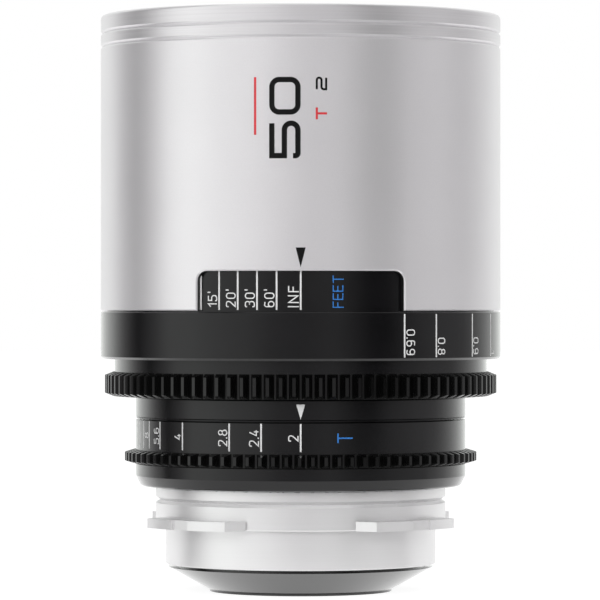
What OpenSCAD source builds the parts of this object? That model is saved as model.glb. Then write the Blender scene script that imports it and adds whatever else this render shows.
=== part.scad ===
// Cinema prime lens standing on its rear end, in millimetres.
// The optical axis is Z with the front glass up, z = 0 is the seat of the bayonet mount,
// and the index marks of the scales face -Y.

/* [Fits] */
// Radial clearance of a piece that is fixed in or on its neighbour
fit_gap = 0.05; // [0.03:0.01:0.1]
// Radial clearance of a running fit
run_gap = 0.1; // [0.08:0.01:0.14]
// Face clearance between a turning ring and its fixed neighbour
face_gap = 0.2; // [0.15:0.05:0.4]

/* [Lens mount] */
// Diameter of the register tube of the mount
mount_tube_d = 54; // [53.5:0.1:55]
// Length of the register tube behind the seat
mount_tube_h = 7.75; // [6:0.05:10]
// Wall of the register tube
mount_tube_wall = 2.5; // [2:0.1:3]
// Diameter of the neck in front of the seat
mount_neck_d = 58; // [57:0.5:60]
// Height of the neck from the seat to the shim
mount_neck_h = 7.5; // [7:0.1:9]
// Height of the turned groove above the seat
mount_groove_z = 5.1; // [4:0.1:5.5]
// Width of the turned groove at its mouth
mount_groove_w = 1.2; // [0.6:0.1:1.6]
// Depth of the turned groove
mount_groove_depth = 0.9; // [0.4:0.1:1.2]
// Radius to the tip of the mount's ears
ear_r = 33.6; // [32:0.1:35]
// Width of an ear at its tip
ear_w = 21.2; // [16:0.1:24]
// Angle by which the sides of an ear spread towards the neck
ear_flare = 11; // [0:1:15]
// Thickness of an ear
ear_t = 1.87; // [1.4:0.01:2.4]
// Width of the locating notch in an ear
ear_notch_w = 4.6; // [3:0.1:6]
// Depth of the locating notch in an ear
ear_notch_depth = 0.7; // [0.4:0.1:2.5]
// Height of the screwed web above the seat
mount_web_z = 2; // [1.8:0.1:3]
// Thickness of the shim that sets the back focus
shim_t = 0.3; // [0.1:0.05:0.6]

/* [Rear housing] */
// Diameter of the housing, the index ring and the iris ring
body_d = 66; // [65.5:0.1:67]
// Height of the rear housing
housing_h = 4.4; // [4.3:0.1:6]
// Height of the taper at the foot of the housing
housing_taper_h = 2.1; // [1:0.1:3]
// Radial depth of that taper
housing_taper_r = 1; // [0.4:0.1:1.5]
// Radius of the edge below the taper
housing_round = 0.8; // [0.3:0.1:1]
// Thickness of the housing's web
housing_web_t = 2; // [1.6:0.1:2.6]

/* [Iris ring] */
// Module of both follow focus gears
gear_module = 0.8; // [0.79:0.01:0.81]
// Teeth on the iris gear
iris_teeth = 86; // [86:1:88]
// Face width of the iris gear
iris_gear_w = 2.65; // [2:0.05:3.2]
// Height of the iris scale band
iris_scale_h = 6; // [5.5:0.1:7]
// Gap under the index ring
seam_gap = 0.5; // [0.3:0.05:0.8]
// Fall of the sloped ends of the iris gear's teeth
iris_gear_chamfer = 0.5; // [0.2:0.05:0.7]
// Turn of the iris ring from wide open to closed
iris_turn = 80; // [60:1:84]

/* [Iris] */
// Radius of the wide open aperture
aperture_r = 11.2; // [10.5:0.1:11.4]
// Radius of the circle of blade pivots
pivot_r = 22.4; // [22.2:0.1:22.6]
// Distance from a blade's pivot to its drive pin
drive_arm = 9; // [8.6:0.1:9.2]
// Turn of a blade from wide open to closed
blade_turn = 27.2; // [24:0.1:27.6]
// Thickness of a blade
blade_t = 0.15; // [0.1:0.01:0.18]
// Height from one blade to the next
blade_pitch = 0.3; // [0.28:0.01:0.32]
// Width of a blade's crescent
blade_w = 6.4; // [6:0.1:6.6]
// Length of a blade's crescent as an angle
blade_arc = 122; // [112:1:128]
// Diameter of a blade's pivot pin
pivot_pin_d = 1.2; // [0.8:0.1:1.4]
// Diameter of a blade's drive pin
drive_pin_d = 0.9; // [0.7:0.05:1]
// Thickness of the iris base plate
iris_base_t = 1.2; // [1:0.1:1.6]
// Thickness of the iris drive plate
drive_plate_t = 1.2; // [1:0.1:1.4]
// Height of the drive plate with its rim
drive_rim_h = 3; // [2.8:0.1:3.4]
// Diameter of the screw that drives the plate
drive_screw_d = 2; // [1.6:0.1:2.2]

/* [Index ring] */
// Height of the index ring
index_h = 4; // [3:0.1:6]
// Chamfer on its lower edge
index_chamfer = 0.2; // [0.1:0.05:0.45]
// Depth of the seam below it
seam_depth = 0.9; // [0.5:0.1:1.5]

/* [Focus ring] */
// Teeth on the focus gear
focus_teeth = 96; // [96:1:98]
// Face width of the focus gear
focus_gear_w = 4.85; // [4.5:0.05:6]
// Fall of the sloped ends of the focus gear's teeth
focus_gear_chamfer = 0.65; // [0.3:0.05:0.9]
// Depth of the neck above the focus gear
focus_neck_depth = 2.75; // [2:0.05:3.5]
// Height of that neck
focus_neck_h = 2.6; // [2:0.1:4]
// Height of the black scale band
focus_band_h = 9.4; // [8:0.1:12]
// Chamfer on the lower edge of the band
focus_band_chamfer = 0.45; // [0.2:0.05:0.8]
// Height of the scale behind the window
focus_scale_h = 9; // [8.6:0.1:11]
// Wall of the focus ring behind its scale
focus_scale_wall = 2; // [1.6:0.1:2.4]
// Turn of the focus ring from infinity to the nearest mark
focus_turn = 150; // [120:1:155]
// Thickness of the focus washer
washer_t = 0.6; // [0.4:0.05:0.8]

/* [Focus mechanism] */
// Bore of the main tube in which the carriage slides
main_bore_d = 56; // [55.9:0.05:56.1]
// Wall of the main tube
main_wall = 2.2; // [2:0.05:2.4]
// Wall of the cam sleeve
cam_wall = 2; // [1.8:0.05:2.3]
// Thickness of the main tube's front flange
flange_t = 3; // [2.6:0.1:4]
// Thickness of the main tube's rear flange
rear_flange_t = 3; // [2.6:0.1:4]
// Travel of the focus carriage
focus_travel = 7; // [6.6:0.1:7.6]
// Diameter of a cam follower
follower_d = 3; // [2.6:0.1:3.2]
// Number of cam followers
follower_count = 3; // [2:1:3]
// Height of the followers above the carriage's foot
follower_z = 9.5; // [8:0.1:10.5]
// Height of the focus carriage
carriage_h = 21; // [20:0.1:21.5]
// Bore of the carriage for its glasses
carriage_glass_d = 48; // [47:0.1:49]

/* [Front barrel] */
// Diameter of the front barrel and the focus band
barrel_d = 80; // [79.6:0.1:81]
// Wall of the front barrel
barrel_wall = 2.6; // [2.4:0.1:3]
// Wall of its skirt round the focus scale
skirt_wall = 1.2; // [1:0.05:1.3]
// Height of the front barrel
barrel_h = 52.65; // [46:0.05:60]
// Half the angle of the scale window
window_half_angle = 30; // [20:1:40]
// Height of the scale window
window_h = 7.7; // [6:0.1:8.5]
// Radius of the window's corners
window_corner = 2; // [1:0.1:3]
// Bevel round the window and on the barrel's lower edge
window_bevel = 0.25; // [0.1:0.05:0.4]

/* [Front ring] */
// Height of the front ring
front_ring_h = 6.25; // [6:0.05:8]
// Wall outside the filter thread
filter_wall = 1.9; // [1.6:0.05:2.2]
// Depth of the filter thread
filter_depth = 5.6; // [5:0.1:5.9]
// Radius of the front edge
rim_radius = 0.7; // [0.3:0.05:0.8]
// Distance from the front edge to the turned groove
rim_groove_z = 3.55; // [2.5:0.05:4]
// Width of the turned grooves
rim_groove_w = 0.9; // [0.5:0.05:1.2]
// Depth of the turned grooves
rim_groove_depth = 0.35; // [0.15:0.05:0.5]

/* [Front glass] */
// Gap between the front cell and the barrel's bore
cell_clear = 1.4; // [1:0.1:2]
// Wall of the front cell round the front glass
cell_wall = 2.35; // [1.8:0.05:3]
// Wall of the front cell round the cylindrical glasses
cylinder_wall = 5.95; // [5:0.05:7]
// Ledge of the cell under the cylindrical glasses
cell_ledge = 4; // [3:0.1:5]
// Thickness of the cell's rear web
cell_web_t = 3; // [2.6:0.1:4]
// Edge thickness of the front glass
front_edge_t = 3.4; // [2.6:0.1:4]
// Radius of curvature of the front glass, front face
front_glass_r = 110; // [100:1:140]
// Radius of curvature of the front glass, rear face
front_glass_rear_r = 200; // [170:1:260]
// Height of the front retaining ring
front_retainer_h = 6; // [5:0.1:7]
// Thickness of the front cylindrical glass
cylinder_front_t = 5; // [4:0.1:6]
// Thickness of the rear cylindrical glass
cylinder_rear_t = 6; // [5:0.1:7]
// Radius of the cylindrical faces
cylinder_face_r = 150; // [130:1:200]
// Height of the ring that holds the cylindrical glasses
cylinder_retainer_h = 4; // [3:0.1:5]

/* [Rear glass] */
// Outer diameter of the rear cell
rear_cell_d = 40.7; // [40.2:0.1:40.9]
// Wall of the rear cell
rear_wall = 2.7; // [2:0.05:3.2]
// Diameter of the rear cone where it meets the register tube
cone_top_d = 53; // [52:0.1:53.4]
// Diameter of the rear cone's foot
cone_foot_d = 36.6; // [36.4:0.1:39]
// Height of the cone
cone_h = 4.55; // [4:0.05:6]
// Height of the upright lip at the cone's foot
cone_lip_h = 0.35; // [0.2:0.05:1]
// Gap between the register tube and the cone
cone_gap = 0.6; // [0.3:0.05:0.8]
// Rear opening
rear_opening_d = 33; // [31:0.1:33.4]

/* [Hidden] */
$fn = 144;
hole_fn = 48;
pin_fn = 32;
lens_fn = 240;
cylinder_fn = 360;
eps = 1;
blade_count = 10;
BLACK = "#232325";
SILVER = "#c6c9cc";
GLASS = "#a9c8d6";
STEEL = "#8d9196";
BRASS = "#b39452";
WASHER = "#e3ddcf";

// Small distances that recur: a screw or pin end short of a surface, a broken edge, a ledge under a glass
end_clear = 0.3;
edge = 0.2;
ledge = 1;
glass_seat = 2;
round_steps = 5;
window_steps = 15;

// Heights of the rings, stacked from the seat of the mount
housing_z = mount_neck_h + shim_t;
housing_top = housing_z + housing_h;
iris_z = housing_top + face_gap;
iris_scale_z = iris_z + iris_gear_w;
iris_top = iris_scale_z + iris_scale_h;
index_z = iris_top + seam_gap;
index_top = index_z + index_h;
focus_z = index_top + face_gap;
neck_z = focus_z + focus_gear_w;
band_z = neck_z + focus_neck_h;
band_top = band_z + focus_band_h;
skirt_z = band_top + face_gap;
scale_top = band_top + focus_scale_h;
flange_z = scale_top + 2 * face_gap;
flange_top = flange_z + flange_t;
seam_z = skirt_z + barrel_h;
rim_z = seam_z + front_ring_h;

// Radii of the nested tubes
body_r = body_d / 2;
barrel_r = barrel_d / 2;
bore_r = main_bore_d / 2;
main_r = bore_r + main_wall;
cam_r = main_r + run_gap;
cam_out_r = cam_r + cam_wall;
ring_bore_r = cam_out_r + fit_gap;
barrel_bore_r = barrel_r - barrel_wall;
skirt_r = barrel_r - skirt_wall;
scale_r = skirt_r - run_gap;
cell_r = barrel_bore_r - cell_clear;
filter_r = barrel_r - filter_wall;
focus_neck_r = barrel_r - focus_neck_depth;
front_glass_d = 2 * (cell_r - cell_wall - fit_gap);
cylinder_glass_d = 2 * (cell_r - cylinder_wall - fit_gap);
rear_cell_r = rear_cell_d / 2;
rear_bore_r = rear_cell_r + fit_gap;
rear_glass_d = 2 * (rear_cell_r - rear_wall - fit_gap);
tube_bore_r = mount_tube_d / 2 - mount_tube_wall;

// Gear rings
tooth_depth = 2.25 * gear_module;
gear_rim = 1.1;
tooth_land = 0.15;
root_land = 0.38;
root_rise = 0.25;
focus_phase = 0.5;
iris_phase = 0.42;
focus_root_r = gear_module * focus_teeth / 2 + gear_module - tooth_depth;
iris_root_r = gear_module * iris_teeth / 2 + gear_module - tooth_depth;
focus_seat_r = focus_root_r - gear_rim;
iris_seat_r = iris_root_r - gear_rim;
pressure_angle = 20;

// Focus mechanism
cam_z = index_top + washer_t + face_gap / 2;
cam_top = flange_z - face_gap;
main_z = housing_z + housing_web_t;
iris_base_z = main_z + rear_flange_t;
carriage_r = bore_r - run_gap;
cover_t = 1.5;
blade_z = iris_base_z + iris_base_t + blade_pitch;
drive_plate_z = blade_z + blade_count * blade_pitch;
cover_z = drive_plate_z + drive_rim_h + face_gap;
carriage_clear = 2.4;
carriage_z = cover_z + cover_t + carriage_clear;
follower_height = carriage_z + follower_z;
follower_slot_d = follower_d + 2 * run_gap;
follower_tip_r = cam_out_r - end_clear;
follower_root_r = carriage_glass_d / 2 + ledge;
follower_angle = 30;
cam_steps = 16;
slot_end_steps = 8;
stop_screw_d = 2.4;
stop_screw_z = follower_height + focus_travel + follower_slot_d / 2 + stop_screw_d;
stop_screw_angle = 90;
stop_hole_d = stop_screw_d + 2 * fit_gap;
stop_slot_d = stop_screw_d + 4 * run_gap;
join_screw_d = 2.5;
join_hole_d = join_screw_d + 2 * fit_gap;
join_screw_rise = 2.2;
join_screw_z = cam_z + join_screw_rise;
join_screw_count = 3;
join_screw_angle = 60;
lens_seat = 3;
carriage_floor_t = 2;
focus_glass_r = carriage_glass_d / 2;
focus_lens_t = 5;
focus_retainer_h = 4;
focus_low_z = carriage_z + carriage_floor_t;
focus_high_z = carriage_z + carriage_h - focus_retainer_h - focus_lens_t;
focus_hollow_r = 80;
focus_curve_r = 90;
focus_lens_rim = 2.4;
ring_web_rise = 2;

// Iris
blade_step = 360 / blade_count;
blade_setback = 0.35;
blade_ri = aperture_r + blade_setback;
blade_ro = blade_ri + blade_w;
blade_cap = 1.7;
drive_cap = 1.2;
pin_hole_gap = 0.1;
slot_steps = 16;
blade_clear = 0.4;
iris_spacer_r = norm([pivot_r, drive_arm]) + drive_cap + blade_clear;
drive_plate_r = bore_r - blade_clear;
drive_rim_wall = 2.2;
drive_rim_r = drive_plate_r - drive_rim_wall;
drive_screw_z = drive_plate_z + drive_rim_h - drive_screw_d / 2 - end_clear;
iris_washer_r = iris_seat_r - blade_clear;
iris_washer_z = housing_top - washer_t + face_gap / 2;
drive_screw_angle = 50;
drive_hole_d = drive_screw_d + 2 * fit_gap;

// Front and rear glass
cell_setback = 1.45;
cell_top = seam_z - cell_setback;
cell_bore_r = front_glass_d / 2 + fit_gap;
cylinder_bore_r = cylinder_glass_d / 2 + fit_gap;
front_seat_z = cell_top - front_edge_t - front_retainer_h - fit_gap;
cell_web_top = flange_top + cell_web_t;
cylinder_top = front_seat_z - cylinder_retainer_h;
spacer_z = cell_web_top + cylinder_rear_t;
spacer_top = cylinder_top - cylinder_front_t;
cell_opening_r = cylinder_glass_d / 2 - cell_ledge;
rear_cell_top = iris_base_z - face_gap;
cone_z = -mount_tube_h - cone_gap;
cone_foot = cone_z - cone_h;
rear_end = cone_foot - cone_lip_h;
cone_wall = 2;
cone_slope = 2 * cone_h / (cone_top_d - cone_foot_d);
rear_seat_z = cone_foot + (rear_bore_r + cone_wall - cone_foot_d / 2) * cone_slope;
rear_lip = 1.5;
rear_glass_t = 5.6;
rear_retainer_h = 3;
rear_lens_top = rear_cell_top - rear_lip;
rear_lens_low = rear_seat_z + rear_retainer_h;
spigot_h = 5;
rear_hollow_r = 60;
rear_curve_r = 90;
rear_lens_rim = 1.2;
ring_spigot_h = 3.5;

// Screws
cell_screw_d = 1.6;
cell_screw_head = 1.4;
cell_head_d = 1.7 * cell_screw_d;
cell_hole_d = cell_screw_d + 2 * fit_gap;
cell_sink_h = cell_screw_head + fit_gap;
cell_screw_count = 6;
cell_screw_r = (main_r + cell_r) / 2;
cell_screw_depth = 4;
mount_screw_d = 2;
mount_screw_head = 1.6;
mount_head_d = 1.7 * mount_screw_d;
mount_hole_d = mount_screw_d + 2 * fit_gap;
mount_screw_count = 6;
mount_screw_r = (rear_bore_r + bore_r) / 2;
mount_screw_floor = 0.8;
mount_screw_low = mount_web_z + mount_screw_floor;
mount_screw_seat = iris_base_z - fit_gap - mount_screw_head;

// Plain ring between two radii and two heights
module ring(r_out, r_in, z0, z1) {
    translate([0, 0, z0])
        difference() {
            cylinder(r = r_out, h = z1 - z0);
            translate([0, 0, -eps])
                cylinder(r = r_in, h = z1 - z0 + 2 * eps);
        }
}

// Part of a ring between two angles
module sector(r_out, r_in, z0, z1, a0, a1) {
    translate([0, 0, z0])
        rotate([0, 0, a0])
            rotate_extrude(angle = a1 - a0)
                translate([r_in, 0])
                    square([r_out - r_in, z1 - z0]);
}

// Pin that lies along a radius
module radial_pin(r0, r1, d, angle, z) {
    rotate([0, 0, angle])
        translate([r0, 0, z])
            rotate([0, 90, 0])
                cylinder(d = d, h = r1 - r0, $fn = hole_fn);
}

// Level slot along the circumference, for a pin of diameter d that goes from angle a0 to a1
module level_slot(r0, r1, d, a0, a1, z) {
    end_angle = 180 / PI * d / (r0 + r1);
    sector(r1, r0, z - d / 2, z + d / 2, a0 - end_angle, a1 + end_angle);
}

// Copies round the axis
module around(count, start = 0) {
    for (i = [0:count - 1])
        rotate([0, 0, start + 360 * i / count])
            children();
}

// Outline of a spur gear with involute flanks that ease into the root, three points on each flank
function involute(a) = tan(a) - a * PI / 180;
function flank_angle(r, teeth) =
    let (pitch = gear_module * teeth / 2)
    let (base = pitch * cos(pressure_angle))
    let (at_r = acos(min(1, base / r)))
    90 / teeth + (involute(pressure_angle) - involute(at_r)) * 180 / PI;
function tooth_point(r, a) = [r * cos(a), r * sin(a)];
function gear_outline(teeth) =
    let (tip = gear_module * (teeth / 2 + 1))
    let (root = tip - tooth_depth)
    let (foot = root + root_rise)
    let (root_angle = 180 / teeth - 90 / PI * root_land / root)
    let (flank = [[root, root_angle], [foot, flank_angle(foot, teeth)], [tip, flank_angle(tip, teeth)]])
    [
        for (i = [0:teeth - 1], side = [-1, 1], k = [0:2])
            let (p = flank[side < 0 ? k : 2 - k])
            tooth_point(p[0], 360 * i / teeth + side * p[1])
    ];

// Gear ring with teeth whose ends slope from the root to the tip, turned by a share of a tooth
module gear_ring(teeth, r_in, z, w, chamfer, phase) {
    tip = gear_module * (teeth / 2 + 1);
    foot = tip - tooth_depth + tooth_land;
    fall = chamfer * (tip + eps - foot) / (tip - foot);
    translate([0, 0, z])
        intersection() {
            rotate([0, 0, 360 * phase / teeth])
                linear_extrude(w)
                    polygon(gear_outline(teeth));
            rotate_extrude()
                polygon([
                    [r_in, 0], [foot, 0], [tip + eps, fall], [tip + eps, w - fall], [foot, w], [r_in, w]
                ]);
        }
}

// Height of a spherical cap
function cap_height(r, curve) = curve - sqrt(curve * curve - r * r);

// Round glass with a convex front face; the rear face is hollow
module meniscus(r, z, edge, front, rear) {
    rim = r - ledge;
    difference() {
        intersection() {
            translate([0, 0, z])
                cylinder(r = r, h = edge + cap_height(r, front));
            translate([0, 0, z + edge + cap_height(r, front) - front])
                sphere(r = front, $fn = lens_fn);
        }
        translate([0, 0, z + cap_height(rim, rear) - rear])
            sphere(r = rear, $fn = lens_fn);
    }
}

// Front ring with its filter bore, rounded edge and turned grooves
module front_ring() {
    spigot_z = cell_top - ring_spigot_h;
    lip_r = front_glass_d / 2 + ledge;
    rim = [for (a = [0:15:90]) [
        barrel_r - rim_radius + rim_radius * cos(a),
        rim_z - rim_radius + rim_radius * sin(a)
    ]];
    groove = rim_z - rim_groove_z;
    color(SILVER)
        rotate_extrude()
            polygon(concat([
                [barrel_bore_r - fit_gap, spigot_z],
                [barrel_bore_r - fit_gap, seam_z],
                [barrel_r - rim_groove_depth, seam_z],
                [barrel_r, seam_z + rim_groove_w / 2],
                [barrel_r, groove - rim_groove_w / 2],
                [barrel_r - rim_groove_depth, groove],
                [barrel_r, groove + rim_groove_w / 2]
            ], rim, [
                [filter_r + rim_radius / 2, rim_z],
                [filter_r, rim_z - rim_radius / 2],
                [filter_r, rim_z - filter_depth],
                [lip_r, rim_z - filter_depth],
                [lip_r, cell_top],
                [cell_r + fit_gap, cell_top],
                [cell_r + fit_gap, spigot_z]
            ]));
}

// Cutter through a wall along the radius; outline of [angle, height] points, listed as seen from outside
module radial_cut(outline, r0, r1) {
    n = len(outline);
    points = [for (r = [r0, r1], p = outline) concat(tooth_point(r, p[0]), p[1])];
    walls = [
        for (i = [0:n - 1])
            let (j = (i + 1) % n)
            each [[i, n + j, j], [i, n + i, n + j]]
    ];
    caps = [for (k = [1:n - 2]) each [[0, k, k + 1], [n, n + k + 1, n + k]]];
    polyhedron(points, concat(walls, caps));
}

// Edge of the window, grown by a margin, as [angle, height] points from its lower right end to its lower left
function window_edge(margin) =
    let (to_angle = 180 / PI / barrel_r)
    let (radius = window_corner + margin)
    let (corner_angle = window_half_angle - window_corner * to_angle)
    let (corner_z = skirt_z + window_h - window_corner)
    let (wide = window_half_angle + margin * to_angle)
    let (low = skirt_z - window_bevel)
    concat(
        [[wide, low]],
        [for (a = [0:15:90]) [corner_angle + radius * cos(a) * to_angle, corner_z + radius * sin(a)]],
        [for (k = [1:window_steps - 1]) [corner_angle * (1 - 2 * k / window_steps), corner_z + radius]],
        [for (a = [90:15:180]) [radius * cos(a) * to_angle - corner_angle, corner_z + radius * sin(a)]],
        [[-wide, low]]
    );

// Cutter for the window's bevel: a strip of three-cornered section along the edge
module window_strip() {
    section = [
        [barrel_r - 2 * window_bevel, -window_bevel],
        [barrel_r + window_bevel, 2 * window_bevel],
        [barrel_r + window_bevel, -window_bevel]
    ];
    points = [for (s = section, p = window_edge(s[1])) concat(tooth_point(s[0], p[0]), p[1])];
    n = len(points) / 3;
    walls = [
        for (s = [0, n, 2 * n], i = [0:n - 2])
            let (a = s + i)
            let (b = (s + n) % (3 * n) + i)
            each [[a, b, b + 1], [a, b + 1, a + 1]]
    ];
    caps = [[0, 2 * n, n], [n - 1, 2 * n - 1, 3 * n - 1]];
    polyhedron(points, concat(walls, caps));
}

// Window in the lower edge of the barrel, with a bevel round it
module window_cut() {
    rotate([0, 0, -90]) {
        radial_cut(window_edge(0), skirt_r - 3 * skirt_wall, 1.25 * barrel_r);
        window_strip();
    }
}

// Silver barrel, seated on the main tube's flange by an inner rib
module front_barrel() {
    rib_t = 2;
    color(SILVER)
        difference() {
            rotate_extrude()
                polygon([
                    [skirt_r, skirt_z], [barrel_r - window_bevel, skirt_z],
                    [barrel_r, skirt_z + window_bevel],
                    [barrel_r, seam_z - rim_groove_w / 2], [barrel_r - rim_groove_depth, seam_z],
                    [barrel_bore_r, seam_z], [barrel_bore_r, flange_top + rib_t],
                    [cell_r + fit_gap, flange_top + rib_t], [cell_r + fit_gap, flange_top],
                    [barrel_bore_r, flange_top], [barrel_bore_r, flange_z], [skirt_r, flange_z]
                ]);
            window_cut();
        }
}

// Cell that carries the front glass and the cylindrical pair
module front_cell() {
    color(BLACK)
        difference() {
            rotate_extrude()
                polygon([
                    [cell_opening_r, flange_top], [cell_r, flange_top], [cell_r, cell_top],
                    [cell_bore_r, cell_top], [cell_bore_r, front_seat_z], [cylinder_bore_r, front_seat_z],
                    [cylinder_bore_r, cell_web_top], [cell_opening_r, cell_web_top]
                ]);
            around(cell_screw_count)
                translate([cell_screw_r, 0, flange_top - eps])
                    cylinder(d = cell_hole_d, h = cell_screw_depth + eps, $fn = hole_fn);
        }
}

module front_element() {
    color(GLASS)
        meniscus(front_glass_d / 2, front_seat_z, front_edge_t, front_glass_r, front_glass_rear_r);
}

// Threaded ring over the front glass, with a dished face and two wrench slots
module front_retainer() {
    z = front_seat_z + front_edge_t;
    wall = 1.3;
    slot_w = 2;
    slot_h = 1.2;
    relief = 0.4;
    dish_h = 3;
    r = front_glass_d / 2;
    mouth_r = r - wall + relief;
    foot_z = z + cap_height(r, front_glass_r) - cap_height(mouth_r, front_glass_r);
    color(BLACK)
        difference() {
            rotate_extrude()
                polygon([
                    [mouth_r, foot_z], [r, z], [r, z + front_retainer_h], [mouth_r, z + front_retainer_h],
                    [r - wall, z + front_retainer_h - dish_h], [r - wall, z + ledge]
                ]);
            for (side = [0, 180])
                rotate([0, 0, side])
                    translate([r - 2 * wall, -slot_w / 2, z + front_retainer_h - slot_h])
                        cube([4 * wall, slot_w, 2 * slot_h]);
        }
}

// Flat-edged glass with a hollow cylindrical front face
module cylinder_lens_front() {
    color(GLASS)
        difference() {
            ring_disc(cylinder_glass_d / 2, spacer_top, cylinder_top);
            lying_cylinder(cylinder_top + cylinder_face_r - cap_height(cell_opening_r, cylinder_face_r));
        }
}

// Flat-edged glass with a raised cylindrical front face
module cylinder_lens_rear() {
    step = 1.5;
    color(GLASS)
        union() {
            ring_disc(cylinder_glass_d / 2, cell_web_top, spacer_z);
            intersection() {
                ring_disc(cell_opening_r, spacer_z - step, spacer_z + cylinder_rear_t);
                lying_cylinder(spacer_z + cap_height(cell_opening_r, cylinder_face_r) - cylinder_face_r);
            }
        }
}

// Cylinder along Y whose surface shapes the cylindrical faces
module lying_cylinder(z) {
    length = cylinder_glass_d + 2 * eps;
    translate([0, length / 2, z])
        rotate([90, 0, 0])
            cylinder(r = cylinder_face_r, h = length, $fn = cylinder_fn);
}

// Solid disc between two heights
module ring_disc(r, z0, z1) {
    translate([0, 0, z0])
        cylinder(r = r, h = z1 - z0);
}

module front_spacer() {
    color(BLACK)
        ring(cylinder_glass_d / 2, cell_opening_r + ledge, spacer_z, spacer_top);
}

module cylinder_retainer() {
    color(BLACK)
        rotate_extrude()
            polygon([
                [cell_opening_r + ledge, cylinder_top], [cylinder_glass_d / 2, cylinder_top],
                [cylinder_glass_d / 2, front_seat_z - fit_gap],
                [cell_opening_r + 3 * ledge, front_seat_z - fit_gap]
            ]);
}

// Sunk screws that pull the front cell on the main tube's flange
module cell_screws() {
    color(STEEL)
        around(cell_screw_count)
            translate([cell_screw_r, 0, flange_z + fit_gap]) {
                cylinder(d = cell_head_d, h = cell_screw_head, $fn = hole_fn);
                cylinder(d = cell_screw_d, h = flange_t + cell_screw_depth - end_clear, $fn = hole_fn);
            }
}

// Fixed tube with the guide slots, the slot for the iris drive screw and a flange at each end
module main_tube() {
    color(BLACK)
        difference() {
            rotate_extrude()
                polygon([
                    [rear_bore_r, main_z], [main_r, main_z], [main_r, flange_z],
                    [barrel_bore_r - fit_gap, flange_z], [barrel_bore_r - fit_gap, flange_top],
                    [bore_r, flange_top], [bore_r, iris_base_z], [rear_bore_r, iris_base_z]
                ]);
            around(follower_count, follower_angle)
                guide_slot();
            level_slot(bore_r - eps, main_r + eps, drive_screw_d + 4 * run_gap, drive_screw_angle,
                       drive_screw_angle + iris_turn, drive_screw_z);
            radial_pin(bore_r - eps, main_r + eps, stop_hole_d, stop_screw_angle, stop_screw_z);
            around(cell_screw_count)
                translate([cell_screw_r, 0, flange_z - eps]) {
                    cylinder(d = cell_head_d + 4 * fit_gap, h = cell_sink_h + eps, $fn = hole_fn);
                    cylinder(d = cell_hole_d, h = flange_t + 2 * eps, $fn = hole_fn);
                }
            mount_screw_holes(main_z - eps, iris_base_z + eps);
            around(mount_screw_count)
                translate([mount_screw_r, 0, mount_screw_seat])
                    cylinder(d = mount_head_d + 4 * fit_gap, h = mount_screw_head + eps, $fn = hole_fn);
        }
}

// Straight slot along the axis for one follower
module guide_slot() {
    half = follower_slot_d / 2;
    low = follower_height - run_gap;
    high = follower_height + focus_travel + run_gap;
    outline = [
        for (end = [0, 1], i = [0:slot_end_steps])
            let (a = 180 * (end + i / slot_end_steps))
            [half * cos(a), (end == 0 ? high : low) + half * sin(a)]
    ];
    rotate([0, 0, 90])
        rotate([90, 0, 0])
            translate([0, 0, bore_r - eps])
                linear_extrude(main_wall + 2 * eps)
                    polygon(outline);
}

// Fixed ring with a lip that stands behind the seam over the iris ring
module index_ring() {
    lip_z = iris_top + face_gap;
    color(BLACK)
        rotate_extrude()
            polygon([
                [main_r + fit_gap, lip_z], [body_r - seam_depth, lip_z], [body_r - seam_depth, index_z],
                [body_r - index_chamfer, index_z], [body_r, index_z + index_chamfer],
                [body_r, index_top - edge], [body_r - edge, index_top], [main_r + fit_gap, index_top]
            ]);
}

module focus_washer() {
    color(WASHER)
        ring(cam_out_r - edge, main_r + fit_gap, index_top, index_top + washer_t);
}

module focus_stop_screw() {
    color(STEEL)
        radial_pin(bore_r + fit_gap, cam_out_r - end_clear, stop_screw_d, stop_screw_angle, stop_screw_z);
}

// Base plate with the open aperture and the pivot holes
module iris_base() {
    color(BLACK)
        difference() {
            ring(bore_r - fit_gap, aperture_r, iris_base_z, iris_base_z + iris_base_t);
            around(blade_count)
                translate([pivot_r, 0, iris_base_z - eps])
                    cylinder(d = pivot_pin_d + 2 * pin_hole_gap, h = iris_base_t + 2 * eps, $fn = pin_fn);
        }
}

module iris_spacer() {
    color(BLACK)
        ring(bore_r - fit_gap, iris_spacer_r, iris_base_z + iris_base_t, drive_plate_z - face_gap / 2);
}

module iris_cover() {
    color(BLACK)
        ring(bore_r - fit_gap, drive_rim_r, cover_z, cover_z + cover_t);
}

module iris_washer() {
    color(WASHER)
        ring(iris_washer_r, main_r + fit_gap, iris_washer_z, iris_washer_z + washer_t);
}

// Tapered collar with a web that joins the main tube to the lens mount
module rear_housing() {
    slope = atan(housing_taper_r / housing_taper_h);
    round_r = body_r - housing_taper_r - housing_round * (1 - sin(slope)) / cos(slope);
    foot = [
        for (i = [0:round_steps])
            let (a = -90 + (90 - slope) * i / round_steps)
            [round_r + housing_round * cos(a), housing_z + housing_round * (1 + sin(a))]
    ];
    color(BLACK)
        difference() {
            rotate_extrude()
                polygon(concat([[rear_bore_r, housing_z]], foot, [
                    [body_r, housing_z + housing_taper_h], [body_r, housing_top],
                    [iris_washer_r + fit_gap, housing_top], [iris_washer_r + fit_gap, iris_washer_z],
                    [main_r + fit_gap, iris_washer_z], [main_r + fit_gap, main_z], [rear_bore_r, main_z]
                ]));
            mount_screw_holes(housing_z - eps, main_z + eps);
        }
}

// Holes for the mount screws between two heights
module mount_screw_holes(z0, z1) {
    around(mount_screw_count)
        translate([mount_screw_r, 0, z0])
            cylinder(d = mount_hole_d, h = z1 - z0, $fn = hole_fn);
}

module mount_shim() {
    color(STEEL)
        difference() {
            ring(mount_neck_d / 2 - edge, rear_bore_r, mount_neck_h, housing_z);
            mount_screw_holes(mount_neck_h - eps, housing_z + eps);
        }
}

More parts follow.
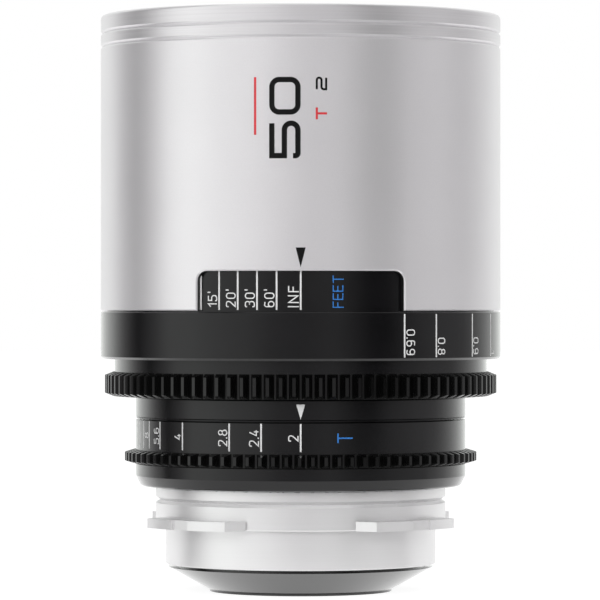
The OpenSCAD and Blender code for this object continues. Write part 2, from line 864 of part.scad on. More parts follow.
// Bayonet mount: register tube, four ears, grooved neck and the screwed web
module lens_mount() {
    neck_r = mount_neck_d / 2;
    tube_r = mount_tube_d / 2;
    color(SILVER)
        difference() {
            union() {
                rotate_extrude()
                    polygon([
                        [tube_bore_r, -mount_tube_h], [tube_r - edge, -mount_tube_h],
                        [tube_r, edge - mount_tube_h],
                        [tube_r, 0], [neck_r - edge, 0], [neck_r, edge],
                        [neck_r, mount_groove_z - mount_groove_w / 2],
                        [neck_r - mount_groove_depth, mount_groove_z],
                        [neck_r, mount_groove_z + mount_groove_w / 2],
                        [neck_r, mount_neck_h], [rear_bore_r, mount_neck_h],
                        [rear_bore_r, mount_web_z], [tube_bore_r, mount_web_z]
                    ]);
                ears(neck_r);
            }
            mount_screw_holes(mount_screw_low - end_clear, mount_neck_h + eps);
        }
}

// Four ears with straight sides that spread towards the neck, and a notch each
module ears(neck_r) {
    root = neck_r - 2 * ledge;
    tip = ear_r + eps;
    root_half = ear_w / 2 + (ear_r - root) * tan(ear_flare);
    tip_half = ear_w / 2 - eps * tan(ear_flare);
    difference() {
        intersection() {
            ring(ear_r, neck_r - ledge, 0, ear_t);
            around(4, 45)
                translate([0, 0, -eps])
                    linear_extrude(ear_t + 2 * eps)
                        polygon([[root, -root_half], [tip, -tip_half], [tip, tip_half], [root, root_half]]);
        }
        around(4, 45)
            translate([ear_r - ear_notch_depth, -ear_notch_w / 2, -eps])
                cube([ear_notch_depth + eps, ear_notch_w, ear_t + 2 * eps]);
    }
}

// Screws through the main tube's rear flange into the mount, under the iris
module mount_screws() {
    color(STEEL)
        around(mount_screw_count)
            translate([mount_screw_r, 0, 0]) {
                translate([0, 0, mount_screw_low])
                    cylinder(d = mount_screw_d, h = mount_screw_seat - mount_screw_low + eps, $fn = hole_fn);
                translate([0, 0, mount_screw_seat])
                    cylinder(d = mount_head_d, h = mount_screw_head, $fn = hole_fn);
            }
}

// Tube that carries the rear glasses
module rear_cell() {
    bore = rear_glass_d / 2 + fit_gap;
    color(BLACK)
        rotate_extrude()
            polygon([
                [bore, rear_seat_z], [rear_cell_r, rear_seat_z], [rear_cell_r, rear_cell_top],
                [bore - glass_seat, rear_cell_top], [bore - glass_seat, rear_lens_top], [bore, rear_lens_top]
            ]);
}

module rear_lens_front() {
    color(GLASS)
        meniscus_down(rear_glass_d / 2, rear_lens_top, rear_glass_t, rear_hollow_r);
}

// Round glass, flat in front with a hollow rear face
module meniscus_down(r, top, t, rear) {
    rim = r - glass_seat;
    difference() {
        ring_disc(r, top - t, top);
        translate([0, 0, top - t + cap_height(rim, rear) - rear])
            sphere(r = rear, $fn = lens_fn);
    }
}

module rear_spacer() {
    color(BLACK)
        ring(rear_glass_d / 2, rear_glass_d / 2 - glass_seat, rear_lens_low + rear_glass_t,
             rear_lens_top - rear_glass_t);
}

module rear_lens_rear() {
    dome_r = rear_glass_d / 2 - rear_lens_rim;
    color(GLASS)
        union() {
            ring_disc(rear_glass_d / 2, rear_lens_low, rear_lens_low + rear_glass_t);
            intersection() {
                ring_disc(dome_r, rear_lens_low - rear_retainer_h, rear_lens_low + ledge);
                translate([0, 0, rear_lens_low - cap_height(dome_r, rear_curve_r) + rear_curve_r])
                    sphere(r = rear_curve_r, $fn = lens_fn);
            }
        }
}

module rear_retainer() {
    color(BLACK)
        ring(rear_glass_d / 2, rear_glass_d / 2 - ledge, rear_seat_z, rear_lens_low);
}

// Tapered rear end with a spigot in the register tube
module rear_cone() {
    spigot_r = tube_bore_r - fit_gap;
    lip = rear_opening_d / 2;
    color(BLACK)
        rotate_extrude()
            polygon([
                [lip, rear_end], [cone_foot_d / 2, rear_end], [cone_foot_d / 2, cone_foot],
                [cone_top_d / 2, cone_z], [spigot_r, cone_z], [spigot_r, cone_z + spigot_h],
                [rear_bore_r, cone_z + spigot_h], [rear_bore_r, rear_seat_z], [lip, rear_seat_z]
            ]);
}

// Black ring with the scale band, the scale behind the window and the seat of the gear
module focus_ring() {
    inner_r = scale_r - focus_scale_wall;
    color(BLACK)
        difference() {
            rotate_extrude()
                polygon([
                    [ring_bore_r, cam_z], [focus_seat_r, cam_z], [focus_seat_r, neck_z],
                    [focus_neck_r, neck_z], [focus_neck_r, band_z],
                    [barrel_r - focus_band_chamfer, band_z], [barrel_r, band_z + focus_band_chamfer],
                    [barrel_r, band_top - edge], [barrel_r - edge, band_top],
                    [scale_r, band_top], [scale_r, scale_top], [inner_r, scale_top],
                    [inner_r, band_z + ring_web_rise], [ring_bore_r, band_z]
                ]);
            around(join_screw_count, join_screw_angle)
                radial_pin(ring_bore_r - eps, focus_seat_r + eps, join_hole_d, 0, join_screw_z);
        }
}

module focus_gear() {
    color(BLACK)
        gear_ring(focus_teeth, focus_seat_r + fit_gap, focus_z, focus_gear_w, focus_gear_chamfer,
                  focus_phase);
}

// Cutter for a slot that climbs as it goes round; the follower rides up as the sleeve turns
module helical_slot() {
    half = follower_slot_d / 2;
    r0 = cam_r - eps;
    r1 = cam_out_r + eps;
    end_share = 180 / PI * follower_slot_d / (r0 + r1) / focus_turn;
    points = [
        for (i = [0:cam_steps])
            let (share = -end_share + (1 + 2 * end_share) * i / cam_steps)
            let (a = -focus_turn * share)
            for (corner = [[r0, -half], [r1, -half], [r1, half], [r0, half]])
                [corner[0] * cos(a), corner[0] * sin(a), follower_height + focus_travel * share + corner[1]]
    ];
    sides = [
        for (i = [0:cam_steps - 1], k = [0:3])
            let (n = (k + 1) % 4)
            each [
                [4 * i + k, 4 * i + 4 + n, 4 * i + n],
                [4 * i + k, 4 * i + 4 + k, 4 * i + 4 + n]
            ]
    ];
    last = 4 * cam_steps;
    ends = [[0, 1, 2], [0, 2, 3], [last, last + 2, last + 1], [last, last + 3, last + 2]];
    polyhedron(points, concat(sides, ends));
}

// Sleeve that turns round the main tube and moves the carriage by its helical slots
module cam_sleeve() {
    color(BRASS)
        difference() {
            ring(cam_out_r, cam_r, cam_z, cam_top);
            around(follower_count, follower_angle)
                helical_slot();
            level_slot(cam_r - eps, cam_out_r + eps, stop_slot_d, stop_screw_angle - focus_turn,
                       stop_screw_angle, stop_screw_z);
            around(join_screw_count, join_screw_angle)
                radial_pin(cam_r - eps, cam_out_r + eps, join_hole_d, 0, join_screw_z);
        }
}

module focus_ring_screws() {
    color(STEEL)
        around(join_screw_count, join_screw_angle)
            radial_pin(cam_r + edge, focus_seat_r - fit_gap, join_screw_d, 0, join_screw_z);
}

// Sliding cell of the focus group
module focus_carriage() {
    bore = focus_glass_r + fit_gap;
    top = carriage_z + carriage_h;
    color(BLACK)
        difference() {
            rotate_extrude()
                polygon([
                    [bore - lens_seat, carriage_z], [carriage_r, carriage_z], [carriage_r, top],
                    [bore, top], [bore, focus_low_z], [bore - lens_seat, focus_low_z]
                ]);
            around(follower_count, follower_angle)
                radial_pin(follower_root_r, carriage_r + eps, follower_d + 2 * fit_gap, 0, follower_height);
        }
}

module focus_lens_rear() {
    color(GLASS)
        meniscus_down(focus_glass_r, focus_low_z + focus_lens_t, focus_lens_t, focus_hollow_r);
}

module focus_spacer() {
    color(BLACK)
        ring(focus_glass_r, focus_glass_r - glass_seat, focus_low_z + focus_lens_t, focus_high_z);
}

module focus_lens_front() {
    top = focus_high_z + focus_lens_t;
    dome_r = focus_glass_r - focus_lens_rim;
    color(GLASS)
        union() {
            ring_disc(focus_glass_r, focus_high_z, top);
            intersection() {
                ring_disc(dome_r, focus_high_z + ledge, top + focus_retainer_h);
                translate([0, 0, top + cap_height(dome_r, focus_curve_r) - focus_curve_r])
                    sphere(r = focus_curve_r, $fn = lens_fn);
            }
        }
}

module focus_retainer() {
    color(BLACK)
        ring(focus_glass_r, focus_glass_r - glass_seat, focus_high_z + focus_lens_t, carriage_z + carriage_h);
}

module cam_followers() {
    color(STEEL)
        around(follower_count, follower_angle)
            radial_pin(follower_root_r, follower_tip_r, follower_d, 0, follower_height);
}

// Black ring with the iris scale and the seat of its gear
module iris_ring() {
    bore = main_r + run_gap;
    color(BLACK)
        difference() {
            rotate_extrude()
                polygon([
                    [bore, iris_z], [iris_seat_r, iris_z], [iris_seat_r, iris_scale_z],
                    [body_r, iris_scale_z], [body_r, iris_top], [bore, iris_top]
                ]);
            radial_pin(bore - eps, body_r + eps, drive_hole_d, drive_screw_angle, drive_screw_z);
        }
}

module iris_gear() {
    color(BLACK)
        gear_ring(iris_teeth, iris_seat_r + fit_gap, iris_z, iris_gear_w, iris_gear_chamfer, iris_phase);
}

// Place of a blade's drive pin when the blade has turned by an angle
function drive_pin(turn) = [pivot_r - drive_arm * sin(turn), drive_arm * cos(turn)];
// The same place as the turning drive plate sees it, at a share of the iris ring's turn
function slot_radius(share) = norm(drive_pin(blade_turn * share));
function slot_angle(share) =
    let (p = drive_pin(blade_turn * share))
    atan2(p[1], p[0]) - iris_turn * share;

// Spiral slot that carries one drive pin
module spiral_slot(d) {
    path = [for (i = [0:slot_steps]) [slot_radius(i / slot_steps), slot_angle(i / slot_steps)]];
    outer = [for (p = path) tooth_point(p[0] + d / 2, p[1])];
    inner = [for (i = [slot_steps:-1:0]) tooth_point(path[i][0] - d / 2, path[i][1])];
    linear_extrude(drive_plate_t + 2 * eps)
        polygon(concat(outer, inner));
    for (share = [0, 1])
        translate(concat(tooth_point(slot_radius(share), slot_angle(share)), [0]))
            cylinder(d = d, h = drive_plate_t + 2 * eps, $fn = pin_fn);
}

// Plate that turns with the iris ring and swings the blades
module iris_drive_plate() {
    plate_bore = aperture_r + ledge;
    color(STEEL)
        difference() {
            rotate_extrude()
                polygon([
                    [plate_bore, drive_plate_z], [drive_plate_r, drive_plate_z],
                    [drive_plate_r, drive_plate_z + drive_rim_h], [drive_rim_r, drive_plate_z + drive_rim_h],
                    [drive_rim_r, drive_plate_z + drive_plate_t], [plate_bore, drive_plate_z + drive_plate_t]
                ]);
            around(blade_count)
                translate([0, 0, drive_plate_z - eps])
                    spiral_slot(drive_pin_d + 2 * pin_hole_gap);
            radial_pin(drive_rim_r - eps, drive_plate_r + eps, drive_hole_d, drive_screw_angle,
                       drive_screw_z);
        }
}

module iris_drive_screw() {
    color(STEEL)
        radial_pin(drive_rim_r + fit_gap, body_r - end_clear, drive_screw_d, drive_screw_angle,
                   drive_screw_z);
}

// Crescent blade on its own level, with a pivot pin below and a drive pin above
module iris_blade(index) {
    level = blade_z + index * blade_pitch;
    pin_foot = iris_base_z + edge;
    pin_top = drive_plate_z + drive_plate_t - edge;
    color(STEEL)
        rotate([0, 0, index * blade_step]) {
            translate([0, 0, level])
                blade_plate();
            translate([pivot_r, 0, pin_foot])
                cylinder(d = pivot_pin_d, h = level + blade_t / 2 - pin_foot, $fn = pin_fn);
            translate([pivot_r, drive_arm, level + blade_t / 2])
                cylinder(d = drive_pin_d, h = pin_top - level - blade_t / 2, $fn = pin_fn);
        }
}

// Flat outline of a blade: crescent, pivot lug and drive arm
module blade_plate() {
    union() {
        sector(blade_ro, blade_ri, 0, blade_t, 0, blade_arc);
        translate([blade_ri + blade_w / 2, 0, 0])
            cylinder(r = blade_w / 2, h = blade_t, $fn = hole_fn);
        translate(concat(tooth_point(blade_ri + blade_w / 2, blade_arc), [0]))
            cylinder(r = blade_w / 2, h = blade_t, $fn = hole_fn);
        translate([pivot_r, 0, 0])
            cylinder(r = blade_cap, h = blade_t, $fn = hole_fn);
        translate([pivot_r, drive_arm, 0])
            cylinder(r = drive_cap, h = blade_t, $fn = hole_fn);
        linear_extrude(blade_t)
            polygon([
                [blade_ri + blade_w / 2, -blade_cap], [pivot_r, -blade_cap], [pivot_r + blade_cap, 0],
                [pivot_r + drive_cap, drive_arm], [pivot_r - drive_cap, drive_arm],
                [blade_ri + blade_w / 2, blade_cap]
            ]);
    }
}

front_ring();
front_barrel();
front_cell();
front_element();
front_retainer();
cylinder_lens_front();
cylinder_lens_rear();
front_spacer();
cylinder_retainer();
cell_screws();
main_tube();
index_ring();
focus_washer();
focus_stop_screw();
iris_base();
iris_spacer();
iris_cover();
iris_washer();
rear_housing();
mount_shim();
lens_mount();
mount_screws();
rear_cell();
rear_lens_front();
rear_spacer();
rear_lens_rear();
rear_retainer();
rear_cone();
focus_ring();
focus_gear();
cam_sleeve();
focus_ring_screws();
focus_carriage();
focus_lens_front();
focus_lens_rear();
focus_spacer();
focus_retainer();
cam_followers();
iris_ring();
iris_gear();
iris_drive_plate();
iris_drive_screw();
iris_blade(0);  // iris_blade_01
iris_blade(1);  // iris_blade_02
iris_blade(2);  // iris_blade_03
iris_blade(3);  // iris_blade_04
iris_blade(4);  // iris_blade_05
iris_blade(5);  // iris_blade_06
iris_blade(6);  // iris_blade_07
iris_blade(7);  // iris_blade_08
iris_blade(8);  // iris_blade_09
iris_blade(9);  // iris_blade_10
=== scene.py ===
"""Looks of the cinema prime lens: finishes, painted scales, studio light and camera."""

import math

import bpy
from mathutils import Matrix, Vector


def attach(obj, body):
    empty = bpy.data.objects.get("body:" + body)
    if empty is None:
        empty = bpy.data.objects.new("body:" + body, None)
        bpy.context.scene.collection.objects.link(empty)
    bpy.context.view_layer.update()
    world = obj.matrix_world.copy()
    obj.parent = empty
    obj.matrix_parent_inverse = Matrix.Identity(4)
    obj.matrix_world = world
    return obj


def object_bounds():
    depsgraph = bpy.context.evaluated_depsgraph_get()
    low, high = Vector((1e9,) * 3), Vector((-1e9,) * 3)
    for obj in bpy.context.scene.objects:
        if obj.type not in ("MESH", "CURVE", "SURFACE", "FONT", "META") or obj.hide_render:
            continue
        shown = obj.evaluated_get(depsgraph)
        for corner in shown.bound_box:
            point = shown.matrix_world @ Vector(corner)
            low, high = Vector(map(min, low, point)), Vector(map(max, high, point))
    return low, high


MM = 0.001

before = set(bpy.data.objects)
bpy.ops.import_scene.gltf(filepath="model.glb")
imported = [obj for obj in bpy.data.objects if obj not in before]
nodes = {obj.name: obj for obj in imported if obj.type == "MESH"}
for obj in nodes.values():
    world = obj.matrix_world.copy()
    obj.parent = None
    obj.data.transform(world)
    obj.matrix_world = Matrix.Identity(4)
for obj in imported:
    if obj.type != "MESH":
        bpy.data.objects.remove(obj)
cad_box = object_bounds()
scene = bpy.context.scene


# Node helpers

def new_material(name):
    material = bpy.data.materials.new(name)
    material.use_nodes = True
    tree = material.node_tree
    return material, tree, tree.nodes["Principled BSDF"]


def add(tree, kind, inputs=None, **settings):
    """A node with its settings; an input given as a socket is linked, any other value is set."""
    node = tree.nodes.new(kind)
    for key, value in settings.items():
        setattr(node, key, value)
    for key, value in (inputs or {}).items():
        if isinstance(value, bpy.types.NodeSocket):
            tree.links.new(value, node.inputs[key])
        else:
            node.inputs[key].default_value = value
    return node


def set_values(shader, **values):
    for key, value in values.items():
        shader.inputs[key.replace("_", " ")].default_value = value


def noise(tree, vector, scale, detail=2.0):
    node = add(tree, "ShaderNodeTexNoise", {"Vector": vector, "Scale": scale, "Detail": detail})
    return node.outputs["Fac"]


def remap(tree, value, low, high, start=0.3, end=0.7):
    node = add(tree, "ShaderNodeMapRange", {
        "Value": value, "From Min": start, "From Max": end, "To Min": low, "To Max": high})
    return node.outputs["Result"]


def maths(tree, operation, a, b=0.0):
    return add(tree, "ShaderNodeMath", {0: a, 1: b}, operation=operation).outputs[0]


def blend(tree, factor, a, b):
    """Colour a where factor is 0 and b where it is 1."""
    node = add(tree, "ShaderNodeMix", {"Factor": factor}, data_type="RGBA")
    for socket, value in ((node.inputs[6], a), (node.inputs[7], b)):
        if isinstance(value, bpy.types.NodeSocket):
            tree.links.new(value, socket)
        else:
            socket.default_value = (*value, 1)
    return node.outputs[2]


def bump(tree, shader, height, strength, distance):
    node = add(tree, "ShaderNodeBump", {"Height": height, "Strength": strength, "Distance": distance})
    tree.links.new(node.outputs["Normal"], shader.inputs["Normal"])


def scaled(tree, vector, x, y, z):
    return add(tree, "ShaderNodeMapping", {"Vector": vector, "Scale": (x, y, z)}).outputs[0]


def position(tree):
    return add(tree, "ShaderNodeTexCoord").outputs["Object"]


def radius_of(tree, vector):
    parts = add(tree, "ShaderNodeSeparateXYZ", {"Vector": vector})
    flat = add(tree, "ShaderNodeCombineXYZ", {"X": parts.outputs["X"], "Y": parts.outputs["Y"]})
    length = add(tree, "ShaderNodeVectorMath", {0: flat.outputs[0]}, operation="LENGTH")
    return length.outputs["Value"], parts.outputs["Z"]


def grey(level):
    return (level, level, level)


def new_object(name, vertices, faces, material):
    mesh = bpy.data.meshes.new(name)
    mesh.from_pydata(vertices, [], faces)
    mesh.materials.append(material)
    made = bpy.data.objects.new(name, mesh)
    scene.collection.objects.link(made)
    return made


# Materials: noise scales are features per metre, bump heights and radii are metres

GRAIN_HEIGHT = 0.00001
ROUGHNESS_SPREAD = 0.03
MASK_EDGE = 0.00003
FILTER_BORE_R = 0.0389
BORE_EDGE = 0.00005
HALF_THREAD_PITCH = 0.000375
THREAD_DEPTH = 0.8
TURNED_HEIGHT = 0.0000004


def silver(name, light, dark, rough, turned, metallic, black_bore_and_painted_shade=None):
    """Blasted and anodised aluminium; turned adds the fine rings that a lathe leaves.
    Below a height and short of a radius the metal turns near-black: the bore's own black, and painted shade
    on the side walls of the window."""
    material, tree, shader = new_material(name)
    place = position(tree)
    grain = noise(tree, place, 5200, 3)
    cloud = noise(tree, place, 70)
    rings = noise(tree, scaled(tree, place, 25, 25, 5200), 1, 3)
    height = maths(tree, "ADD", maths(tree, "MULTIPLY", grain, 1 - turned),
                   maths(tree, "MULTIPLY", rings, turned))
    shade = maths(tree, "ADD", maths(tree, "MULTIPLY", height, 0.6), maths(tree, "MULTIPLY", cloud, 0.4))
    colour = blend(tree, remap(tree, shade, 0, 1), dark, light)
    set_values(shader, Metallic=metallic)
    # Near-black, not metallic, short of the radius and below the height: the bore's own black, with painted
    # shade on the window's side walls
    if black_bore_and_painted_shade:
        radius, z = radius_of(tree, place)
        inner_radius, top = black_bore_and_painted_shade
        near = remap(tree, radius, 1, 0, inner_radius - MASK_EDGE, inner_radius + MASK_EDGE)
        bore_and_painted_shade_mask = maths(tree, "MULTIPLY", near, maths(tree, "LESS_THAN", z, top))
        colour = blend(tree, bore_and_painted_shade_mask, colour, grey(0.008))
        tree.links.new(remap(tree, bore_and_painted_shade_mask, metallic, 0, 0, 1), shader.inputs["Metallic"])
    tree.links.new(colour, shader.inputs["Base Color"])
    sheen = remap(tree, height, rough - ROUGHNESS_SPREAD, rough + ROUGHNESS_SPREAD)
    tree.links.new(sheen, shader.inputs["Roughness"])
    bump(tree, shader, height, 0.03, GRAIN_HEIGHT)
    return material


def front_ring_finish(name, light, dark, rough):
    """Turned silver outside; the filter bore is black with its thread."""
    material, tree, shader = new_material(name)
    place = position(tree)
    radius, z = radius_of(tree, place)
    bore = remap(tree, radius, 1, 0, FILTER_BORE_R - BORE_EDGE, FILTER_BORE_R + BORE_EDGE)
    rings = noise(tree, scaled(tree, place, 25, 25, 6200), 1, 3)
    grain = noise(tree, place, 4200)
    metal = blend(tree, remap(tree, rings, 0, 1), dark, light)
    black = blend(tree, grain, (0.008, 0.008, 0.009), (0.02, 0.02, 0.021))
    tree.links.new(blend(tree, bore, metal, black), shader.inputs["Base Color"])
    tree.links.new(remap(tree, bore, 0.75, 0, 0, 1), shader.inputs["Metallic"])
    sheen = remap(tree, rings, rough - ROUGHNESS_SPREAD, rough + ROUGHNESS_SPREAD)
    tree.links.new(sheen, shader.inputs["Roughness"])
    thread = maths(tree, "MULTIPLY", maths(tree, "PINGPONG", z, HALF_THREAD_PITCH), bore)
    turned = maths(tree, "MULTIPLY", rings, TURNED_HEIGHT)
    height = maths(tree, "ADD", maths(tree, "MULTIPLY", thread, THREAD_DEPTH), turned)
    bump(tree, shader, height, 0.9, 1.0)
    return material


def anodised(name, dark, light, rough, ior, coat=None):
    """Black anodised metal with a fine satin grain; coat is the IOR of its sealed outer layer."""
    material, tree, shader = new_material(name)
    place = position(tree)
    grain = noise(tree, place, 4600, 3)
    cloud = noise(tree, place, 120)
    shade = maths(tree, "ADD", maths(tree, "MULTIPLY", grain, 0.5), maths(tree, "MULTIPLY", cloud, 0.5))
    tree.links.new(blend(tree, remap(tree, shade, 0, 1), dark, light), shader.inputs["Base Color"])
    tree.links.new(remap(tree, grain, rough - 0.03, rough + 0.04), shader.inputs["Roughness"])
    bump(tree, shader, grain, 0.1, GRAIN_HEIGHT)
    set_values(shader, IOR=ior)
    if coat:
        set_values(shader, Coat_Weight=1, Coat_IOR=coat, Coat_Roughness=rough)
    return material


def gear_finish(name, root, tip):
    """Black anodised teeth, dull between root and tip radius and worn smooth at the tips."""
    material, tree, shader = new_material(name)
    place = position(tree)
    grain = noise(tree, place, 4600, 3)
    tree.links.new(blend(tree, grain, grey(0.001), grey(0.003)), shader.inputs["Base Color"])
    wear = remap(tree, radius_of(tree, place)[0], 0.34, 0.12, root, tip)
    sheen = maths(tree, "ADD", wear, maths(tree, "MULTIPLY", grain, 0.04))
    tree.links.new(sheen, shader.inputs["Roughness"])
    bump(tree, shader, grain, 0.1, GRAIN_HEIGHT)
    set_values(shader, IOR=1.5)
    return material


def metal(name, dark, light, rough, stretch):
    """Bare machined metal; stretch gives the direction of its tool marks."""
    material, tree, shader = new_material(name)
    marks = noise(tree, scaled(tree, position(tree), *stretch), 1, 3)
    tree.links.new(blend(tree, remap(tree, marks, 0, 1), dark, light), shader.inputs["Base Color"])
    tree.links.new(remap(tree, marks, rough - 0.07, rough + 0.07), shader.inputs["Roughness"])
    bump(tree, shader, marks, 0.15, GRAIN_HEIGHT)
    set_values(shader, Metallic=1)
    return material


def coated_glass(name, film, reflex):
    """Optical glass with a thin film on it and a trace of cleaning marks; reflex tints its reflections."""
    material, tree, shader = new_material(name)
    wipe = noise(tree, scaled(tree, position(tree), 300, 900, 300), 1, 4)
    tree.links.new(remap(tree, wipe, 0.0, 0.02, 0.45, 0.8), shader.inputs["Roughness"])
    tint = blend(tree, remap(tree, wipe, 0, 1), (0.97, 0.985, 0.98), (0.99, 0.995, 0.995))
    tree.links.new(tint, shader.inputs["Base Color"])
    set_values(shader, IOR=1.6, Transmission_Weight=1, Specular_Tint=(*reflex, 1))
    set_values(shader, Thin_Film_Thickness=film, Thin_Film_IOR=1.38)
    return material


def plastic_with_painted_shade(name, dark, light, shade_radius):
    """Slick plastic whose outer edge, past a given radius, is painted near-black: painted shade for the gap
    between parts in which that edge shows.
    """
    material, tree, shader = new_material(name)
    place = position(tree)
    grain = noise(tree, place, 2500, 3)
    clean = blend(tree, remap(tree, grain, 0, 1), dark, light)
    # Past the radius the colour is painted shade, for the dark gap in which the edge shows
    painted_shade_mask = remap(tree, radius_of(tree, place)[0], 0, 1, shade_radius, shade_radius + 0.0001)
    tree.links.new(blend(tree, painted_shade_mask, clean, grey(0.004)), shader.inputs["Base Color"])
    tree.links.new(remap(tree, grain, 0.45, 0.6), shader.inputs["Roughness"])
    bump(tree, shader, grain, 0.1, GRAIN_HEIGHT)
    return material


def paint(name, dark, light, rough, ior=1.5):
    """Filling paint of the engraved marks, slightly uneven."""
    material, tree, shader = new_material(name)
    patch = noise(tree, position(tree), 1800, 2)
    tree.links.new(blend(tree, remap(tree, patch, 0, 1), dark, light), shader.inputs["Base Color"])
    tree.links.new(remap(tree, patch, rough - 0.05, rough + 0.05), shader.inputs["Roughness"])
    set_values(shader, IOR=ior)
    return material


SILVER_LIGHT = (0.80, 0.785, 0.802)
# The barrel's near-black region is the bore's own black, with painted shade on the side walls of the window
BARREL_SILVER = silver(
    "satin_silver", light=SILVER_LIGHT, dark=(0.75, 0.735, 0.752), rough=0.31, turned=0.15, metallic=0.7,
    black_bore_and_painted_shade=(0.0397, 0.055))
RING_SILVER = front_ring_finish("turned_silver", light=SILVER_LIGHT, dark=(0.74, 0.725, 0.742), rough=0.31)
MOUNT_SILVER = silver(
    "mount_silver", light=(0.84, 0.835, 0.84), dark=(0.80, 0.795, 0.80), rough=0.31, turned=0.6,
    metallic=0.66)
BLACK = anodised(
    "black_anodised", dark=(0.0022, 0.0021, 0.0025), light=(0.0045, 0.0043, 0.005), rough=0.18, ior=1.28,
    coat=1.34)
FOCUS_GEAR = gear_finish("focus_gear_black", root=0.0376, tip=0.0391)
IRIS_GEAR = gear_finish("iris_gear_black", root=0.0336, tip=0.0351)
CONE_BLACK = anodised("cone_black", dark=grey(0.005), light=grey(0.009), rough=0.14, ior=1.3, coat=1.56)
MATT_BLACK = anodised("matt_black", dark=grey(0.006), light=grey(0.013), rough=0.55, ior=1.45)
BLADE_STEEL = anodised(
    "blackened_steel", dark=(0.014, 0.014, 0.015), light=(0.018, 0.018, 0.019), rough=0.4, ior=1.6)
GLASS_FRONT = coated_glass("coated_glass_front", film=128.0, reflex=grey(1))
GLASS_INNER = coated_glass("coated_glass_inner", film=0.0, reflex=(0.08, 0.14, 0.2))
STEEL = metal(
    "screw_steel", dark=(0.42, 0.43, 0.44), light=(0.62, 0.63, 0.64), rough=0.3, stretch=(900, 900, 900))
BRASS = metal("brass", dark=(0.52, 0.37, 0.15), light=(0.70, 0.52, 0.24), rough=0.3, stretch=(200, 200, 4000))
# The washers' outer edge is painted near-black as painted shade
WASHER = plastic_with_painted_shade("washer_plastic", dark=(0.66, 0.62, 0.53), light=(0.78, 0.75, 0.67), shade_radius=0.0316)
WHITE_PAINT = paint("white_paint", dark=grey(0.55), light=grey(0.64), rough=0.45)
BLUE_PAINT = paint("blue_paint", dark=(0.010, 0.125, 0.42), light=(0.018, 0.165, 0.50), rough=0.4)
RED_PAINT = paint("red_paint", dark=(0.42, 0.012, 0.02), light=(0.56, 0.02, 0.03), rough=0.4)
BLACK_PAINT = paint("black_paint", dark=grey(0.002), light=grey(0.004), rough=0.12, ior=1.34)

FINISHES = {
    "front_ring": RING_SILVER, "front_barrel": BARREL_SILVER, "lens_mount": MOUNT_SILVER,
    "mount_shim": STEEL, "focus_gear": FOCUS_GEAR, "iris_gear": IRIS_GEAR, "rear_cone": CONE_BLACK,
    "front_element": GLASS_FRONT, "front_cell": MATT_BLACK, "front_retainer": MATT_BLACK,
    "front_spacer": MATT_BLACK, "cylinder_retainer": MATT_BLACK, "main_tube": MATT_BLACK,
    "rear_cell": MATT_BLACK, "rear_spacer": MATT_BLACK, "rear_retainer": MATT_BLACK,
    "focus_carriage": MATT_BLACK, "focus_spacer": MATT_BLACK, "focus_retainer": MATT_BLACK,
    "iris_base": MATT_BLACK, "iris_spacer": MATT_BLACK, "iris_cover": MATT_BLACK,
    "iris_drive_plate": BLADE_STEEL,
}
SLOT_FINISHES = {
    "silver_anodised": BARREL_SILVER, "black_anodised": BLACK, "glass": GLASS_INNER, "steel": STEEL,
    "brass": BRASS, "washer": WASHER, "blade_steel": BLADE_STEEL,
}
for name, node in nodes.items():
    for slot in node.material_slots:
        slot.material = FINISHES.get(name) or SLOT_FINISHES[slot.material.name]


# Painted marks: strokes laid round a cylinder. Angles are degrees from the index, to the right positive, and
# lengths are millimetres

# Signs on a field one high: their width, then strokes of (x, y, corner radius) points, closed or open
W = 0.55
R = 0.27
SIX = [
    (True, [(0, 0, R), (W, 0, R), (W, 0.6, R), (0, 0.6, R)]),
    (False, [(0.5, 0.96, 0), (0, 1.04, 0.5), (0, 0.3, 0)])]
GLYPHS = {
    "0": (W, [(True, [(0, 0, R), (W, 0, R), (W, 1, R), (0, 1, R)])]),
    "1": (0.3, [(False, [(0, 0.72, 0), (0.3, 1, 0), (0.3, 0, 0)])]),
    "2": (W, [(False, [(0, 0.74, 0), (0, 1, R), (W, 1, R), (W, 0.6, 0.15), (0, 0, 0), (W, 0, 0)])]),
    "3": (W, [
        (False, [(0, 0.8, 0), (0, 1, 0.24), (W, 1, 0.24), (W, 0.54, 0.2), (0.2, 0.54, 0)]),
        (False, [(0.2, 0.54, 0), (W, 0.54, 0.24), (W, 0, R), (0, 0, R), (0, 0.22, 0)])]),
    "4": (W, [(False, [(0.33, 1, 0), (0, 0.24, 0), (W, 0.24, 0)]), (False, [(0.4, 0.5, 0), (0.4, 0, 0)])]),
    "5": (W, [(False, [
        (0.52, 1, 0), (0.03, 1, 0), (0.03, 0.6, 0), (W, 0.6, R), (W, 0, R), (0, 0, R), (0, 0.18, 0)])]),
    "6": (W, SIX),
    "7": (W, [(False, [(0, 1, 0), (W, 1, 0), (0.18, 0, 0)])]),
    "8": (W, [
        (True, [(0, 0, R), (W, 0, R), (W, 0.54, R), (0, 0.54, R)]),
        (True, [(0.04, 0.54, 0.23), (0.51, 0.54, 0.23), (0.51, 1, 0.23), (0.04, 1, 0.23)])]),
    "9": (W, [(closed, [(W - x, 1 - y, r) for x, y, r in points]) for closed, points in SIX]),
    ".": (-0.1, [(False, [(-0.05, -0.07, 0), (-0.05, 0.09, 0)])]),
    "'": (0.0, [(False, [(0, 0.75, 0), (0, 1.09, 0)])]),
    "I": (0.0, [(False, [(0, -0.09, 0), (0, 1.09, 0)])]),
    "N": (W, [(False, [(0, -0.09, 0), (0, 1, 0), (W, 0, 0), (W, 1.09, 0)])]),
    "F": (0.46, [(False, [(0.46, 1, 0), (0, 1, 0), (0, -0.09, 0)]), (False, [(0, 0.52, 0), (0.4, 0.52, 0)])]),
    "E": (0.48, [
        (False, [(0.48, 1, 0), (0, 1, 0), (0, 0, 0), (0.48, 0, 0)]),
        (False, [(0, 0.52, 0), (0.42, 0.52, 0)])]),
    "T": (0.6, [(False, [(0, 1, 0), (0.6, 1, 0)]), (False, [(0.3, 1, 0), (0.3, -0.09, 0)])]),
}

